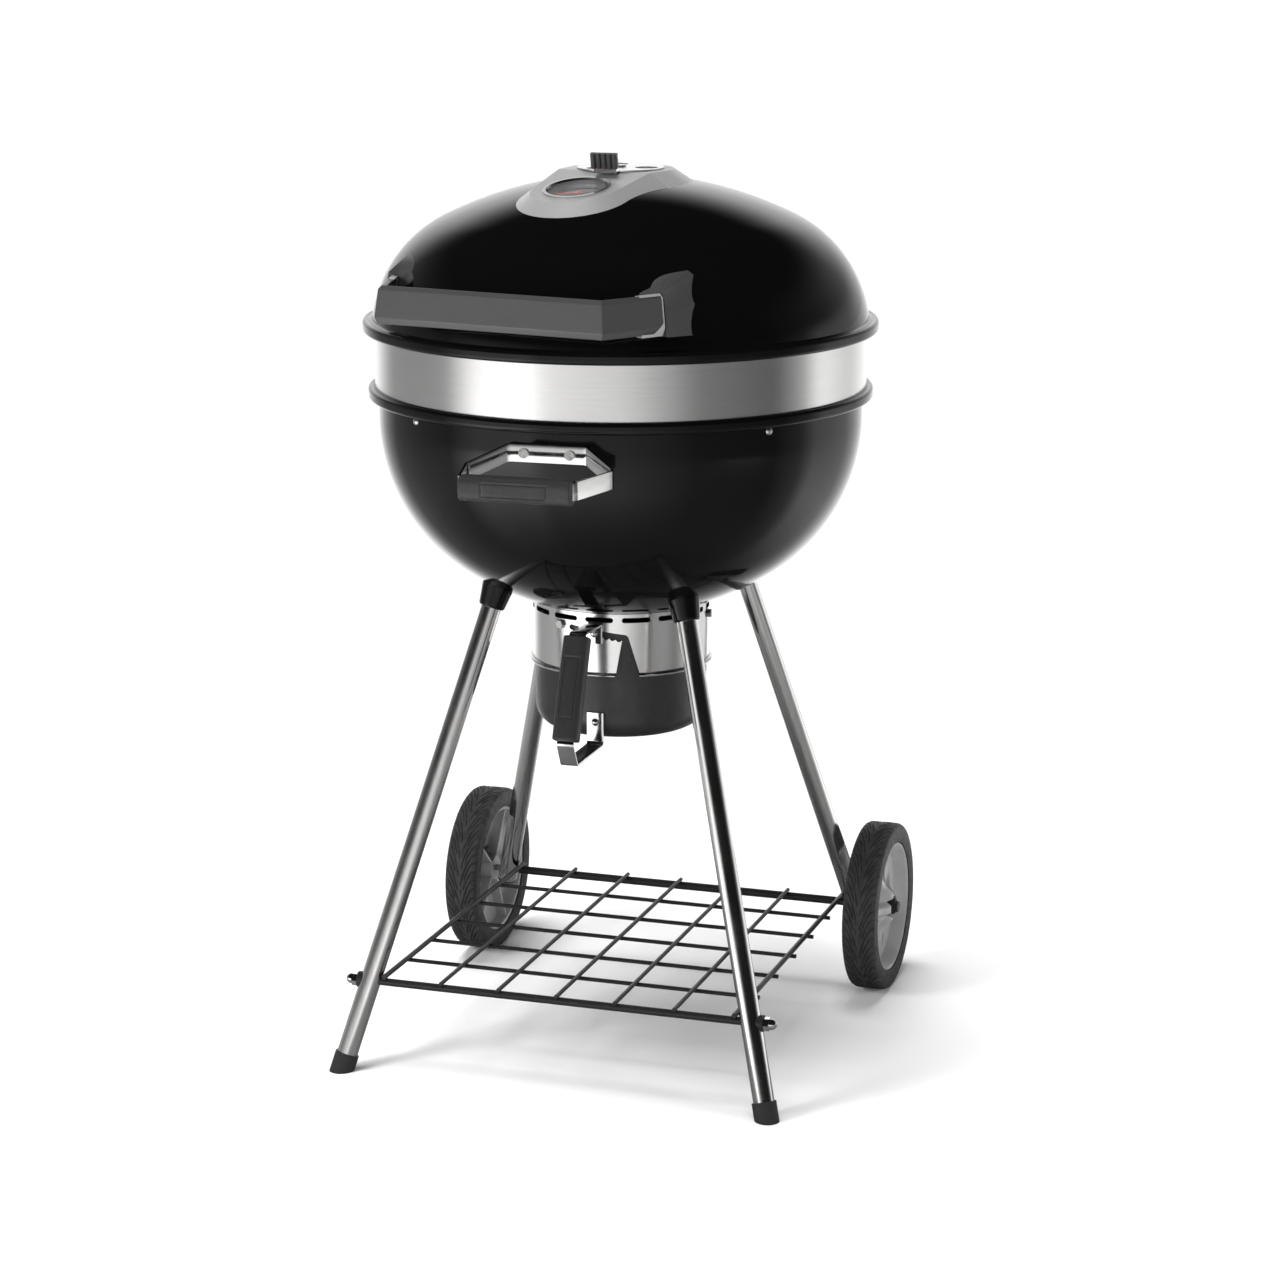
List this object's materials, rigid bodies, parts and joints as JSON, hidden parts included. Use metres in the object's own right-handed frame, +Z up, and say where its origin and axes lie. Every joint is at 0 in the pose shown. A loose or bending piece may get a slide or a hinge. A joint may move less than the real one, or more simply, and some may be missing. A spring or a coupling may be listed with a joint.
{
  "type": "kettle charcoal grill",
  "caption": "Round charcoal grill with a hinged domed lid, lid thermometer, vent damper, steel band, ash catcher, folding cooking grid, tube legs, wire shelf and wheels.",
  "frame": {"origin": "on the ground under the middle of the bounding box; the kettle's vertical axis is 33 mm behind it", "axes": "+Z up, -Y the front where the handles point, +X the right-hand side as seen from the front"},
  "size_m": [0.5931, 0.7375, 1.049],
  "materials": {
    "enamel": "glossy black porcelain enamel",
    "stainless": "brushed stainless steel",
    "silver": "satin silver casting",
    "handle_plastic": "matte charcoal plastic with a fine grain",
    "grip_rubber": "matte black rubber",
    "chrome": "polished chrome",
    "zinc": "zinc-plated steel",
    "black_steel": "satin black powder coat",
    "tyre": "moulded black rubber with a tread",
    "hub_plastic": "grey moulded plastic",
    "cast_iron": "seasoned cast iron",
    "plain_steel": "bare steel wire",
    "gauge_glass": "clear glass",
    "gauge_dial": "printed black dial",
    "gauge_needle": "painted pointer"
  },
  "bodies": {
    "kettle_and_legs": {"bowl": "enamel", "leg_sockets": "enamel", "steel_band": "stainless", "ash_shroud": "stainless", "bowl_handle_strap": "stainless", "rear_leg_plugs": "handle_plastic", "bowl_handle_grip": "grip_rubber", "foot_caps": "grip_rubber", "leg_front_left": "chrome", "leg_front_right": "chrome", "leg_rear_left": "chrome", "leg_rear_right": "chrome", "shelf_acorn_nuts": "chrome", "leg_bolts": "zinc", "lid_hinge_pin": "zinc", "shroud_bolts": "zinc", "bowl_handle_bolts": "zinc", "grid_bracket_screws": "zinc", "grid_brackets": "zinc", "axle": "zinc", "cooking_grid_pins": "zinc", "shelf_front_rod": "black_steel", "shelf_rear_tube": "black_steel", "shelf_side_wires": "black_steel", "shelf_long_wires": "black_steel", "shelf_cross_wires": "black_steel", "shelf_rod_washers": "black_steel", "lid_hinge_bracket": "black_steel", "axle_nuts": "black_steel", "cooking_grid_middle": "cast_iron", "charcoal_grate": "plain_steel"},
    "lid": {"lid_shell": "enamel", "lid_handle_bar": "handle_plastic", "lid_handle_trims": "silver", "lid_handle_bracket_left": "handle_plastic", "lid_handle_bracket_right": "handle_plastic", "lid_handle_bolts": "zinc", "vent_housing": "silver", "damper_rivet": "stainless", "thermometer_case": "stainless", "thermometer_bezel": "stainless", "thermometer_dial": "gauge_dial", "thermometer_glass": "gauge_glass", "thermometer_probe": "stainless", "lid_hinge_leaf": "black_steel", "lid_hinge_screws": "zinc"},
    "damper": {"vent_damper": "stainless", "damper_tab": "handle_plastic"},
    "needle": {"thermometer_needle": "gauge_needle"},
    "grid_flap_left": {"cooking_grid_flap_left": "cast_iron"},
    "grid_flap_right": {"cooking_grid_flap_right": "cast_iron"},
    "ash_catcher_pot": {"ash_pot": "black_steel", "ash_pot_pin": "stainless", "ash_handle_strap": "stainless", "ash_handle_grip": "grip_rubber", "ash_handle_rivet": "stainless"},
    "wheel_left": {"tyre_left": "tyre", "hub_left": "hub_plastic"},
    "wheel_right": {"tyre_right": "tyre", "hub_right": "hub_plastic"}
  },
  "joints": [
    {"name": "lid_hinge", "type": "hinge", "parent": "kettle_and_legs", "child": "lid", "pos_m": [0.05083, 0.33678, 0.848], "axis": [-0.9863, 0.165, 0], "range_deg": [0, 85]},
    {"name": "vent_damper_turn", "type": "hinge", "parent": "lid", "child": "damper", "pos_m": [0, 0.033, 1.027], "axis": [0, 0, 1], "range_deg": [-35, 25]},
    {"name": "thermometer_needle_turn", "type": "hinge", "parent": "lid", "child": "needle", "pos_m": [-0.01716, -0.06957, 1.0124], "axis": [-0.0343, -0.2051, 0.9781], "range_deg": [-240, 0]},
    {"name": "grid_flap_left_hinge", "type": "hinge", "parent": "kettle_and_legs", "child": "grid_flap_left", "pos_m": [-0.112, 0.033, 0.7806], "axis": [0, 1, 0], "range_deg": [0, 95]},
    {"name": "grid_flap_right_hinge", "type": "hinge", "parent": "kettle_and_legs", "child": "grid_flap_right", "pos_m": [0.112, 0.033, 0.7806], "axis": [0, -1, 0], "range_deg": [0, 95]},
    {"name": "ash_pot_turn", "type": "hinge", "parent": "kettle_and_legs", "child": "ash_catcher_pot", "pos_m": [0, 0.033, 0.45], "axis": [0, 0, 1], "range_deg": [-4, 4]},
    {"name": "wheel_left_spin", "type": "hinge", "parent": "kettle_and_legs", "child": "wheel_left", "pos_m": [-0.2585, 0.2647, 0.1035], "axis": [1, 0, 0], "continuous": true},
    {"name": "wheel_right_spin", "type": "hinge", "parent": "kettle_and_legs", "child": "wheel_right", "pos_m": [0.2585, 0.2647, 0.1035], "axis": [1, 0, 0], "continuous": true}
  ]
}
